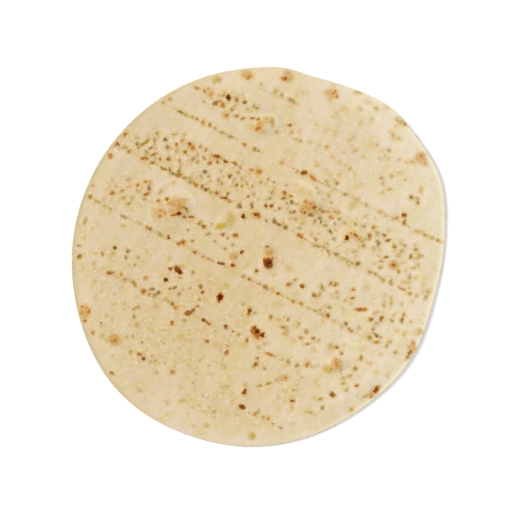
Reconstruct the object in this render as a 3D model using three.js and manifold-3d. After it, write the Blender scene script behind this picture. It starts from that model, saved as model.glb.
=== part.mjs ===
// A soft flour tortilla lying flat with its shown face up: one thin disc of baked dough, not quite
// round and pressed thinner at the rim. Blisters stand up on the shown face, and shallow creases run
// across it where the slats of the oven belt lay against the dough.
// Millimetres. X runs right and Y away across the shown face, Z up, the flat underside is on Z = 0.

import * as THREE from "three";
import { mergeVertices } from "three/addons/utils/BufferGeometryUtils.js";
import Module from "manifold-3d";

// The disc. Its middle lies a little off the middle of the box round it.
const DIAMETER = 254;
const RADIUS = DIAMETER / 2;
const THICKNESS = 2.1;
const RIM_THICKNESS = 1.3;
const RIM_BAND = 14;
const RIM_ROUNDING = 0.7;
const CENTRE = { x: 0.6, y: 1.0 };

// Where the outline leaves the circle: bearing and spread in degrees, reach in mm.
const OUTLINE_SWELLS = [
  { bearing: 25, spread: 13, reach: 5.7 },
  { bearing: 47, spread: 13, reach: 6.0 },
  { bearing: 74, spread: 7, reach: -1.2 },
  { bearing: 82, spread: 7, reach: 1.2 },
  { bearing: 142, spread: 42, reach: -2.8 },
  { bearing: 227, spread: 25, reach: 4.5 },
  { bearing: 264, spread: 18, reach: 1.4 },
  { bearing: 308, spread: 20, reach: -2.7 },
  { bearing: 345, spread: 19, reach: -5.3 },
];

// Where the rim curls up off the table, outside the share of the radius that lies flat.
const LYING_SHARE = 0.78;
const RIM_LIFTS = [
  { bearing: 36, spread: 26, reach: 1.3 },
  { bearing: 132, spread: 34, reach: 0.8 },
  { bearing: 228, spread: 28, reach: 1.1 },
  { bearing: 330, spread: 24, reach: 0.9 },
];

// Slow waves in the shown face: the bearing that they run along, crest to crest, and their height.
const WAVES = [
  { bearing: 15, length: 118, height: 0.22 },
  { bearing: 80, length: 84, height: 0.2 },
  { bearing: 140, length: 61, height: 0.14 },
];

// Blisters on the shown face: the middle, half the length and width, the turn of the length in
// degrees, and the rise of the dome.
const BLISTERS = [
  { x: -56, y: 33, long: 16, wide: 12, turn: -15, rise: 1.7 },
  { x: 34, y: 39, long: 16, wide: 13, turn: -30, rise: 1.9 },
  { x: 5, y: 88, long: 13, wide: 10, turn: 20, rise: 1.4 },
  { x: 6.5, y: -3, long: 9, wide: 8, turn: 90, rise: 1.2 },
  { x: -22, y: 23, long: 12, wide: 8, turn: 45, rise: 0.8 },
  { x: 52, y: -73, long: 11, wide: 9, turn: 0, rise: 0.9 },
  { x: -77, y: 46, long: 9, wide: 8, turn: 0, rise: 0.7 },
  { x: 63, y: 14, long: 11, wide: 8, turn: 0, rise: 0.8 },
  { x: 78, y: -42, long: 8, wide: 8, turn: 0, rise: 0.7 },
];

// Belt creases, all along one bearing: how far each lies off the middle, and where it starts and ends.
// A crease fades out over a short way at both ends.
const BELT_BEARING = -26.5;
const BELT_CREASES = [
  { offset: 101.8, from: -66, to: -22 },
  { offset: 63.4, from: -104, to: 106 },
  { offset: 25.4, from: -119, to: 114 },
  { offset: -15.8, from: -119, to: 117 },
  { offset: -54.9, from: -92, to: 72 },
  { offset: -96.0, from: -79, to: 60 },
];
const CREASE_DEPTH = 0.45;
const CREASE_HALF_WIDTH = 1.4;
const CREASE_FADE = 14;
const CREASE_STEP = 7;
const CREASE_END_RISE = 0.5;

// How finely the faces are divided.
const SECTORS = 90;
const RINGS_ABOVE = 24;
const RINGS_BELOW = 8;

const radians = THREE.MathUtils.degToRad;
const smooth = THREE.MathUtils.smoothstep;

// Adds up bell-shaped swells, each spread about its own bearing.
function swellAt(swells, bearing) {
  return swells.reduce((sum, swell) => {
    const turn = THREE.MathUtils.euclideanModulo(bearing - swell.bearing + 180, 360) - 180;
    return sum + swell.reach * Math.exp(-((turn / swell.spread) ** 2));
  }, 0);
}

function outlineRadius(bearing) {
  return RADIUS + swellAt(OUTLINE_SWELLS, bearing);
}

function undersideHeight(bearing, share) {
  return swellAt(RIM_LIFTS, bearing) * smooth(share, LYING_SHARE, 1) ** 2;
}

function waveHeight(x, y) {
  return WAVES.reduce((sum, wave) => {
    const along = x * Math.cos(radians(wave.bearing)) + y * Math.sin(radians(wave.bearing));
    return sum + wave.height * Math.sin((2 * Math.PI * along) / wave.length);
  }, 0);
}

// Each blister is a dome over an ellipse that meets the face without a corner.
function blisterHeight(x, y) {
  return BLISTERS.reduce((sum, blister) => {
    const spot = new THREE.Vector2(x - blister.x, y - blister.y);
    spot.rotateAround(new THREE.Vector2(), radians(-blister.turn));
    const reach = (spot.x / blister.long) ** 2 + (spot.y / blister.wide) ** 2;
    return sum + blister.rise * Math.max(0, 1 - reach) ** 2;
  }, 0);
}

// Thickness of the dough: thin at the rim, then full, with the waves and blisters on top.
function thicknessAt(x, y, share) {
  const inside = smooth((1 - share) * RADIUS, 0, RIM_BAND);
  const relief = waveHeight(x, y) + blisterHeight(x, y);
  return RIM_THICKNESS + inside * (THICKNESS - RIM_THICKNESS + relief);
}

// The disc is turned from a profile of two numbers, the share of the radius and the share of the
// thickness; each corner is then moved to its real place.
function discGeometry() {
  const ringShares = (rings) =>
    Array.from({ length: rings + 1 }, (_, ring) => (ring / rings) * (1 - RIM_ROUNDING / RADIUS));
  const profile = [
    ...ringShares(RINGS_BELOW).map((share) => new THREE.Vector2(share, 0)),
    new THREE.Vector2(1, 0.5),
    ...ringShares(RINGS_ABOVE).reverse().map((share) => new THREE.Vector2(share, 1)),
  ];
  const geometry = new THREE.LatheGeometry(profile, SECTORS);
  geometry.rotateX(Math.PI / 2);
  const corners = geometry.attributes.position;
  for (let i = 0; i < corners.count; i++) {
    const share = Math.hypot(corners.getX(i), corners.getY(i));
    const angle = Math.atan2(corners.getY(i), corners.getX(i));
    const bearing = THREE.MathUtils.radToDeg(angle);
    const x = CENTRE.x + share * outlineRadius(bearing) * Math.cos(angle);
    const y = CENTRE.y + share * outlineRadius(bearing) * Math.sin(angle);
    const z = undersideHeight(bearing, share) + corners.getZ(i) * thicknessAt(x, y, share);
    corners.setXYZ(i, x, y, z);
  }
  return geometry;
}

function shownFaceHeight(x, y) {
  const bearing = THREE.MathUtils.radToDeg(Math.atan2(y - CENTRE.y, x - CENTRE.x));
  const share = Math.hypot(x - CENTRE.x, y - CENTRE.y) / outlineRadius(bearing);
  return undersideHeight(bearing, share) + thicknessAt(x, y, share);
}

// A sharp-bottomed bar that follows the shown face and rises out of it towards both ends.
function creaseGeometry({ offset, from, to }) {
  const ahead = new THREE.Vector2(Math.cos(radians(BELT_BEARING)), Math.sin(radians(BELT_BEARING)));
  const steps = Math.round((to - from) / CREASE_STEP);
  const route = Array.from({ length: steps + 1 }, (_, step) => {
    const along = THREE.MathUtils.lerp(from, to, step / steps);
    const x = ahead.x * along - ahead.y * offset;
    const y = ahead.y * along + ahead.x * offset;
    const bite = Math.min(1, (along - from) / CREASE_FADE, (to - along) / CREASE_FADE);
    return new THREE.Vector3(x, y, shownFaceHeight(x, y) + CREASE_END_RISE * (1 - bite));
  });
  const section = new THREE.Shape([
    new THREE.Vector2(CREASE_DEPTH, 0),
    new THREE.Vector2(-CREASE_DEPTH, 2 * CREASE_HALF_WIDTH),
    new THREE.Vector2(-CREASE_DEPTH, -2 * CREASE_HALF_WIDTH),
  ]);
  const extrudePath = new THREE.CatmullRomCurve3(route);
  return new THREE.ExtrudeGeometry(section, { steps, bevelEnabled: false, extrudePath });
}

const wasm = await Module();
wasm.setup();

function solidFrom(geometry) {
  geometry.deleteAttribute("normal");
  geometry.deleteAttribute("uv");
  const merged = mergeVertices(geometry);
  const vertProperties = new Float32Array(merged.attributes.position.array);
  const triVerts = new Uint32Array(merged.index.array);
  return new wasm.Manifold(new wasm.Mesh({ numProp: 3, vertProperties, triVerts }));
}

function geometryFrom(solid) {
  const { vertProperties, triVerts } = solid.getMesh();
  const geometry = new THREE.BufferGeometry();
  geometry.setAttribute("position", new THREE.BufferAttribute(new Float32Array(vertProperties), 3));
  geometry.setIndex(new THREE.BufferAttribute(new Uint32Array(triVerts), 1));
  return geometry;
}

const creased = BELT_CREASES.reduce(
  (solid, crease) => solid.subtract(solidFrom(creaseGeometry(crease))),
  solidFrom(discGeometry()),
);
const geometry = geometryFrom(creased);

// The middle of the bottom of its box is the origin.
geometry.computeBoundingBox();
const middle = geometry.boundingBox.getCenter(new THREE.Vector3());
geometry.translate(-middle.x, -middle.y, -geometry.boundingBox.min.z);
geometry.computeVertexNormals();

const bakedDough = new THREE.MeshStandardMaterial({ color: 0xdfc99f, roughness: 0.85, metalness: 0 });
const tortilla = new THREE.Mesh(geometry, bakedDough);
tortilla.name = "tortilla";

const part = new THREE.Group();
part.add(tortilla);

export default part;
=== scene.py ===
# %% [markdown]
# # A flour tortilla
# A flour tortilla is a ball of wheat dough pressed into a thin disc and baked for less than a minute
# on a slatted oven belt. Everything that makes it look like food is small: a rim that isn't quite
# round, low blisters, shallow belt creases, and toast, from faint tan freckles to a few burnt spots.
# The lesson builds the disc as one closed surface from numpy arrays, gives every point of it a toast
# depth, and lets one material turn that depth into colour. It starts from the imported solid, which
# fixes the size and the place.

import bpy
import numpy as np
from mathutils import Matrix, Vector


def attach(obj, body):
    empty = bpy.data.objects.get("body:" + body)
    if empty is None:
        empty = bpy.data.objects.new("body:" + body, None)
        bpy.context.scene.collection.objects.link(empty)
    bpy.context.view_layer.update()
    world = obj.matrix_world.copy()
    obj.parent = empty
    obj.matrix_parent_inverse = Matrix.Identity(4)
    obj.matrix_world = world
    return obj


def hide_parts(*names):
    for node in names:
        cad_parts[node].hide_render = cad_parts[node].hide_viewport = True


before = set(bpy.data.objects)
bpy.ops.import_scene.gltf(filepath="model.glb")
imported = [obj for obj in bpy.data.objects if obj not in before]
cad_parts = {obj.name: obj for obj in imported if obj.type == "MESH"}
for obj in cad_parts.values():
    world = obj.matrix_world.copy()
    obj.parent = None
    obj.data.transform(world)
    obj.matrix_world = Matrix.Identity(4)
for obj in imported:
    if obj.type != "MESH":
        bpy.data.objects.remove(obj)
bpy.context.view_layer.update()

# %% [markdown]
# ## The outline and the rim
# A pressed tortilla spreads unevenly, so its edge leaves the circle by a few millimetres here and
# there. It could be drawn as a curve with many points, but a circle with a handful of bell-shaped
# swells says the same with far fewer numbers, and the rim's lifts off the table are bells as well.
# All lengths are millimetres until the mesh is made.

# %% Sizes of the disc
METRES = 0.001
RADIUS = 254 / 2
THICKNESS = 2.1
RIM_THICKNESS = 1.3
RIM_BAND = 14.0
RIM_ROUNDING = 0.35
CENTRE = (0.169, 0.745)
LYING_SHARE = 0.78
print("about", 2 * RADIUS, "mm across and", THICKNESS, "mm thick")

# Bearing and spread in degrees, then how far the edge reaches out or the rim lifts.
OUTLINE_SWELLS = [
    (25, 13, 5.7), (47, 13, 6.0), (74, 7, -1.2), (82, 7, 1.2), (142, 42, -2.8),
    (227, 25, 4.5), (264, 18, 1.4), (308, 20, -2.7), (345, 19, -5.3),
]
RIM_LIFTS = [(36, 26, 1.3), (132, 34, 0.8), (228, 28, 1.1), (330, 24, 0.9)]


# %% Outline and lift as functions of the bearing
def smoothstep(value, low, high):
    """0 below low, 1 above high, and 3t^2 - 2t^3 of the share t between them."""
    t = np.clip((value - low) / (high - low), 0, 1)
    return t * t * (3 - 2 * t)


def bells(bearing, rows):
    """Sum over the rows of reach * exp(-(turn / spread)^2), where turn is the way round to the bearing."""
    total = np.zeros_like(bearing)
    for middle, spread, reach in rows:
        turn = (bearing - middle + 180) % 360 - 180
        total += reach * np.exp(-((turn / spread) ** 2))
    return total


def edge_radius(bearing):
    """The circle's radius plus its swells."""
    return RADIUS + bells(bearing, OUTLINE_SWELLS)


def underside_lift(bearing, share):
    """The rim's lift at that bearing, eased in from the lying share of the radius out to the edge."""
    return bells(bearing, RIM_LIFTS) * smoothstep(share, LYING_SHARE, 1) ** 2


compass = np.linspace(0, 360, 361)
print("edge radius, mm:", edge_radius(compass).min().round(1), "to", edge_radius(compass).max().round(1))

# %% [markdown]
# ## Places read off the photograph
# The photograph looks straight down, so a place on it is a place on the tortilla: one scale and one
# shift turn its pixels into millimetres. Marks are listed as they are read there, across and down.

# %% From photograph pixels to millimetres
PHOTO_SIDE = 510
PHOTO_MIDDLE_ACROSS = 258.5
PHOTO_MIDDLE_DOWN = 256.5
PIXEL = 0.6723


def on_tortilla(across, down):
    """Millimetres right of and above the middle of the box, for pixels counted right and down."""
    x = (np.asarray(across, float) - PHOTO_MIDDLE_ACROSS) * PIXEL
    y = (PHOTO_MIDDLE_DOWN - np.asarray(down, float)) * PIXEL
    return x, y


print("the photograph is", round(PHOTO_SIDE * PIXEL, 1), "mm wide at the tortilla")

# %% [markdown]
# ## Waves and blisters
# Steam lifts the dough into low domes, and the sheet dries in slow waves. Each dome is an ellipse
# whose height falls off smoothly, so it meets the sheet without a corner, and the waves are sines.
# These are the same named shapes as in the solid. Two finer ones are added: folds round the blisters,
# which are narrow ridges along a bend, and the dough's unevenness as a few dozen seeded sines, because
# a pressed sheet is never quite smooth.

# %% Waves, blisters and the uneven dough
# Bearing in degrees, crest to crest and height.
WAVES = [(15, 118, 0.22), (80, 84, 0.2), (140, 61, 0.14)]
# Middle, half length, half width, turn in degrees and rise.
BLISTERS = [
    (-56, 33, 16, 12, -15, 1.7), (34, 39, 16, 13, -30, 1.9), (5, 88, 13, 10, 20, 1.4),
    (6.5, -3, 9, 8, 90, 1.2), (-22, 23, 12, 8, 45, 0.8), (52, -73, 11, 9, 0, 0.9),
    (-77, 46, 9, 8, 0, 0.7), (63, 14, 11, 8, 0, 0.8), (78, -42, 8, 8, 0, 0.7),
]
# Middle of the bend, its radius, bearing and spread in degrees of the folded part, and the rise.
FOLDS = [
    (-56, 34, 17.1, 110, 50, 0.2), (-54, 33.5, 11.4, 40, 40, 0.32), (-56, 30, 16.8, 200, 26, 0.18),
    (26.7, 36, 14.4, 40, 48, 0.34), (31, 39, 16.5, 45, 30, 0.16), (6, 90, 6.6, 10, 44, 0.26),
]
FOLD_HALF_WIDTH = 1.4
UNEVEN_SINES = 40
UNEVEN_LENGTHS = (6.0, 22.0)
UNEVEN_HEIGHT = 0.016
rng = np.random.default_rng(26)
uneven_bearings = rng.uniform(0, 2 * np.pi, UNEVEN_SINES)
uneven_lengths = rng.uniform(*UNEVEN_LENGTHS, UNEVEN_SINES)
uneven_starts = rng.uniform(0, 2 * np.pi, UNEVEN_SINES)


def oval_reach(x, y, middle_x, middle_y, half_long, half_wide, turn):
    """Distance from the middle of a turned ellipse, counted so that its edge is at 1."""
    angle = np.radians(turn)
    along = (x - middle_x) * np.cos(angle) + (y - middle_y) * np.sin(angle)
    beside = (y - middle_y) * np.cos(angle) - (x - middle_x) * np.sin(angle)
    return np.hypot(along / half_long, beside / half_wide)


def wave_height(x, y):
    """Sum of height * sin(2 pi * way along the bearing / length) over the slow waves and the fine sines."""
    total = np.zeros_like(x)
    for bearing, length, height in WAVES:
        way = x * np.cos(np.radians(bearing)) + y * np.sin(np.radians(bearing))
        total += height * np.sin(2 * np.pi * way / length)
    for bearing, length, start in zip(uneven_bearings, uneven_lengths, uneven_starts):
        way = x * np.cos(bearing) + y * np.sin(bearing)
        total += UNEVEN_HEIGHT * np.sin(2 * np.pi * way / length + start)
    return total


def blister_height(x, y):
    """Sum of rise * (1 - reach^2)^2 over the ellipses, and nothing outside them."""
    total = np.zeros_like(x)
    for middle_x, middle_y, half_long, half_wide, turn, rise in BLISTERS:
        reach = oval_reach(x, y, middle_x, middle_y, half_long, half_wide, turn)
        total += rise * np.clip(1 - reach**2, 0, 1) ** 2
    return total


def fold_height(x, y):
    """Sum over the folds of rise * exp(-(way off the bend / half width)^2), eased out along the bend."""
    total = np.zeros_like(x)
    for middle_x, middle_y, radius, bearing, spread, rise in FOLDS:
        off = (np.hypot(x - middle_x, y - middle_y) - radius) / FOLD_HALF_WIDTH
        here = np.degrees(np.arctan2(y - middle_y, x - middle_x))
        turn = (here - bearing + 180) % 360 - 180
        total += rise * np.exp(-(off**2) - (turn / spread) ** 2)
    return total


print(len(BLISTERS), "blisters, the highest", max(row[-1] for row in BLISTERS), "mm")

# %% [markdown]
# ## Belt lines
# The slats of the oven belt press straight lines into the soft dough, all along one bearing and a slat
# apart, and the dough toasts where it was pressed. A line could be cut with a boolean, but on a dense
# surface it is simply a narrow dip in the height, with the dough pushed up a little on either side.
# Each line is kept as the places that it passes and as the depth of its toast from place to place.

# %% Lines that the belt pressed
BELT_BEARING = np.radians(-26.5)
# First the way along the bearing and the distance off the middle, then the way along and the toast.
BELT_LINES = [
    ([(-66, 101.8), (-22, 101.8), (60, 102.8)],
     [(-66, 0.1), (-46, 0.3), (-30, 0.3), (-24, 0.4), (-18, 0.0), (28, 0.0), (36, 0.26), (48, 0.26),
      (60, 0.1)]),
    ([(-104, 63.6), (106, 63.4)],
     [(-104, 0.1), (-95, 0.3), (-88, 0.5), (-78, 0.45), (-72, 0.2), (-60, 0.45), (-50, 0.4), (-45, 0.15),
      (-34, 0.4), (-24, 0.15), (-10, 0.25), (-4, 0.4), (12, 0.5), (20, 0.38), (48, 0.36), (70, 0.28),
      (84, 0.32), (92, 0.5), (104, 0.5)]),
    ([(-119, 25.0), (-73, 24.7), (-38, 25.1), (0, 25.6), (30, 24.4), (62, 24.8), (72, 24.1), (114, 22.8)],
     [(-119, 0.1), (-106, 0.2), (-98, 0.4), (-84, 0.5), (-36, 0.5), (-24, 0.15), (-6, 0.15), (2, 0.3),
      (16, 0.5), (48, 0.48), (56, 0.4), (66, 0.2), (72, 0.45), (84, 0.35), (90, 0.2), (95, 0.45),
      (104, 0.2), (114, 0.1)]),
    ([(-119, -14.6), (-104, -16.1), (-60, -15.8), (-28, -16.3), (34, -16.4), (77, -16.4), (101, -18.6),
      (120, -21.6)],
     [(-119, 0.5), (-104, 0.45), (-98, 0.2), (-93, 0.5), (-82, 0.35), (-66, 0.5), (-52, 0.25), (-38, 0.5),
      (-18, 0.5), (-8, 0.25), (0, 0.45), (24, 0.5), (30, 0.3), (38, 0.5), (58, 0.5), (66, 0.34), (78, 0.4),
      (86, 0.22), (98, 0.18), (104, 0.22), (118, 0.22)]),
    ([(-92, -54.8), (72, -54.8)],
     [(-92, 0.15), (-85, 0.45), (-72, 0.42), (-64, 0.3), (-58, 0.5), (-38, 0.4), (-32, 0.25), (-22, 0.4),
      (-8, 0.35), (0, 0.14), (30, 0.2), (44, 0.15), (72, 0.05)]),
    ([(-79, -95.4), (60, -95.4)],
     [(-79, 0.2), (-52, 0.2), (-40, 0.35), (-30, 0.4), (-24, 0.15), (-8, 0.1), (60, 0.05)]),
]
CREASE_DEPTH = 0.38
CREASE_HALF_WIDTH = 1.3
CREASE_LIP = 0.12
LIP_WIDENING = 2.4
CREASE_FADE = 14.0
WANDER = 0.25
WANDER_LENGTH = 31.0
LINE_REACH = 4.0


def belt_place(x, y):
    """The way along the belt's bearing and the distance to the left of it."""
    along = x * np.cos(BELT_BEARING) + y * np.sin(BELT_BEARING)
    left = y * np.cos(BELT_BEARING) - x * np.sin(BELT_BEARING)
    return along, left


def line_left(along, path):
    """The line's distance off the middle, straight from place to place, plus a small sine as it wanders."""
    places, lefts = np.array(path, float).T
    return np.interp(along, places, lefts) + WANDER * np.sin(2 * np.pi * along / WANDER_LENGTH + lefts[0])


def crease_height(x, y):
    """A narrow bell-shaped dip on each line, with a wider low bell as its lips, faded out at both ends."""
    along, left = belt_place(x, y)
    total = np.zeros_like(x)
    for path, _ in BELT_LINES:
        start, end = path[0][0], path[-1][0]
        gap = (left - line_left(along, path)) / CREASE_HALF_WIDTH
        fade_in = smoothstep(along, start, start + CREASE_FADE)
        fade_out = 1 - smoothstep(along, end - CREASE_FADE, end)
        lip = CREASE_LIP * np.exp(-((gap / LIP_WIDENING) ** 2))
        dip = CREASE_DEPTH * np.exp(-(gap**2))
        total += fade_in * fade_out * (lip - dip)
    return total


def line_field(x, y):
    """The distance to the nearest line, signed and held at LINE_REACH, and that line's toast within it."""
    along, left = belt_place(x, y)
    gaps = np.stack([left - line_left(along, path) for path, _ in BELT_LINES])
    toasts = np.stack([
        np.interp(along, *np.array(rows, float).T, left=0, right=0) for _, rows in BELT_LINES
    ])
    nearest = abs(gaps).argmin(0)[None]
    gap = np.take_along_axis(gaps, nearest, 0)[0]
    toast = np.take_along_axis(toasts, nearest, 0)[0]
    return np.clip(gap, -LINE_REACH, LINE_REACH), np.where(abs(gap) < LINE_REACH, toast, 0)


print(len(BELT_LINES), "belt lines, creased", CREASE_DEPTH, "mm deep")

# %% [markdown]
# ## Toast marks that stand out
# Where the dough stood up against the hot belt it browned, and where it touched longest it burnt. The
# marks that one would recognise this tortilla by are listed as small ellipses: across, down,
# length and width in photograph pixels, and the turn of the length in degrees. A row of three numbers
# is a round mark, and one of four isn't turned. Each list is one kind, by how deep it has toasted and
# by its tone: plain brown or amber, clear orange, olive, or a smoky grey-brown.

# %% Burnt spots
BURNT = [
    (166, 280, 5), (243.5, 216.5, 7, 5, -50), (179, 213.8, 6.5, 4.8, -18), (346.5, 238, 6.5, 5, 10),
    (203.5, 320, 6, 4, -35), (241.5, 252.5, 5.5, 4, 55), (268.8, 263, 9, 6), (257, 331.5, 6),
    (262.7, 335, 6, 5.2, 80), (220, 297.3, 10, 6.8, 65), (180, 272.2, 6.8, 5.2, -12),
    (228.5, 97.6, 7.5, 5.4, 90),
]
print(len(BURNT), "burnt spots")

# %% Dark spots
DARK = [
    (221.5, 263.5, 9, 3.5, -15), (244.5, 392, 8, 5, 75), (376.5, 389.5, 10, 5, 48), (302.5, 286, 6, 4.5),
    (272, 206, 5, 4.5, -35), (256, 214.5, 7.5, 5.5), (189.5, 144, 5.5), (304, 173, 8, 5.5, 20),
    (249.5, 310.5, 7.5, 5, -75), (224.5, 198, 6.5, 5, -15), (202.5, 292, 5, 4.5, 90),
    (328, 315.5, 5, 4.5, -40), (226, 326.5, 6, 5.5), (256, 364, 5.5, 5, 45), (292.5, 401, 5),
    (290, 125, 5, 3.5), (265.5, 206, 4.5, 4, 40), (168.5, 237.5, 5), (332, 394.5, 6.5, 5.5, -50),
    (144, 358, 5), (216.5, 156, 8, 4, -10), (268, 263.2, 12, 11, 90), (254.3, 327.8, 6, 5.2, 60),
    (404, 215.5, 6, 5), (225.5, 161.5, 5.5, 4.5, -25), (242, 406.8, 7.8, 6, -10),
    (177.5, 269.5, 10.5, 7, -38), (232.7, 265.3, 6, 4.5, -30), (205.5, 190, 5, 4.5), (170.2, 269, 4.8),
]
print(len(DARK), "dark spots")

# %% Brown spots in the upper half
BROWN_ABOVE = [
    (125, 134.5, 8, 4.5, 65), (117.5, 144, 6, 5, 90), (167.3, 147, 6.4, 5, 60), (168.5, 159, 6, 5),
    (144.6, 158.4, 9, 5, -5), (209.5, 163, 6, 5.5), (235, 163.5, 8.5, 4, -35),
    (195.8, 184.6, 7.5, 5, -22), (202.5, 186.5, 7, 5, 90), (217, 193, 6.5, 4.5, 80),
    (229, 201, 5.5, 3.5, -25), (284.5, 78.5, 7, 5.5), (146.5, 194.5, 7, 4.5, 20), (149, 189, 9, 4.5, 85),
    (138, 185, 5.5, 4.5, 60), (145.5, 181.5, 4.5, 4), (173.5, 214.8, 9, 3.6, 5), (284.5, 193, 5.5),
    (294, 212, 6, 4), (328, 211.5, 5, 3.5), (316, 239, 4.5), (258.5, 216.5, 5, 4.5, -40),
    (235.5, 235.5, 6.5, 5.5), (223, 234.5, 5.2), (404, 222.5, 6.5, 4.5, 90), (195, 252, 6.5, 4.5, -30),
    (405, 124, 4.5, 3.5), (210, 124.5, 5, 4.5, 90), (176.5, 144.5, 4.6), (169.7, 169.7, 7, 4.6, 75),
    (179, 175, 9.5, 6, -15), (240, 167.3, 5, 3.6, -60), (251, 170, 5.5, 4, -15),
    (369.5, 236, 7.5, 4.5, 85), (150.5, 229, 5, 4.5), (314, 207.4, 6.5, 5.5, -30),
    (304.6, 212.3, 7, 5.4, -10), (301.3, 211.7, 4.5), (319.3, 209.3, 4.5, 3.6, 90),
    (236.3, 100, 7.5, 4.6, -75), (355.3, 235.3, 7.5, 4, -38), (191.6, 217, 7, 4, -8), (79, 257, 6, 5.5),
    (182.8, 242.3, 6.5, 6),
]
print(len(BROWN_ABOVE), "brown spots above")

# %% Brown spots in the lower half
BROWN_BELOW = [
    (109.5, 273, 8, 5), (143.5, 291.5, 7, 6, 90), (172, 323, 6, 4.5, 85), (208, 323.5, 7, 4.5, -20),
    (278, 293.5, 6, 4, -10), (249.5, 279, 6, 4, -20), (256.5, 271, 5.5, 5), (289, 284.5, 6),
    (336, 284.5, 5), (353, 289.5, 4.5, 4), (370.5, 319.5, 5), (381.5, 318.5, 6.5, 4.5, 75),
    (313.5, 338.5, 5, 4.5, -40), (247, 340, 6.5, 4.5, 72), (226.5, 352.5, 7, 5.5, 50),
    (88.5, 312, 7, 4.5, 85), (371.5, 395.5, 5.5, 4, 30), (413, 344, 5.5, 4.5, 70),
    (357, 385.5, 5.5, 3.5, -25), (207, 341.5, 5), (84.5, 321, 4.5, 4, 90), (248, 314, 4.5),
    (256.3, 332.7, 14, 9.5, -45), (139.5, 354.5, 6.5, 5, -50), (410.5, 352, 7.5, 4.5, 50),
    (337, 347, 5, 4.5), (352.5, 298, 5, 4), (394, 265.5, 6.5, 5.5), (360.5, 309.5, 9, 4.5),
    (265.3, 266.2, 5), (271, 266.2, 5), (265, 258.3, 5, 4.5), (272, 258.3, 5, 4),
]
print(len(BROWN_BELOW), "brown spots below")

# %% Orange spots
ORANGE = [
    (300, 236, 9.5, 4.6, -33), (331.5, 217.5, 5.8, 4.8, -10), (258.7, 171.5, 7.5, 7), (361, 309.5, 13, 5),
    (270, 354.5, 11, 4, -22), (203, 122.5, 6, 5, 70), (112, 193, 6.5, 5.5), (114.5, 340.5, 7.5, 7),
    (307, 364.5, 6.5, 5.5, 30), (313, 178, 11, 4, -40), (244.5, 144.5, 5.5, 4.5),
    (258.5, 128.5, 9, 5.5, 35), (182.5, 140.5, 5), (176, 307.5, 6.5, 5.2, -25), (222.7, 105, 8, 5.2, -70),
]
print(len(ORANGE), "orange spots")

# %% Dark olive and smoky brown spots
DARK_OLIVE = [
    (188, 313.2, 9.5, 6, 3), (192.7, 310.5, 7, 4.2, 38), (200.5, 287, 5.5, 4.6, 80), (166.8, 199.4, 4.6),
    (302.3, 208.5, 4.5, 3.8, 85), (244.3, 102, 6, 4.4, -20), (230, 176, 5.2), (114.8, 248, 6, 4.6, -45),
    (203.8, 226.8, 5.6, 4.6, -20),
]
SMOKY_BROWN = [
    (170.3, 288.4, 5, 3.8), (174.7, 287.6, 5, 4.2, 20), (267, 246.8, 5, 4.5), (310.5, 214.7, 6, 4.2),
    (320, 218, 4, 5), (320.8, 221.8, 5, 4, 80), (330, 231, 6.5, 4, -45), (205, 171.7, 6.8, 4.6, 40),
    (165, 139.7, 5.4), (137.2, 143.6, 5.6, 4, 90), (179, 170, 4.4), (173, 173.8, 6, 4, -20),
    (291.6, 202.3, 5.5, 4.6), (279.5, 208, 4.6), (274.5, 221, 7, 4.6, -70), (278.5, 224.5, 7.5, 4, -15),
    (384.6, 235, 4.6), (345.6, 323.6, 5, 4.6, -45), (376.5, 335.5, 9, 3.6, -38), (152.4, 289.3, 7.5, 4),
    (158, 293, 6.5, 4.2, 20), (128, 251, 4.8), (199, 223.8, 5.2, 4.6, -30), (184, 217, 6, 3.8),
]
print(len(DARK_OLIVE), "dark olive and", len(SMOKY_BROWN), "smoky brown spots")

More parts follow.
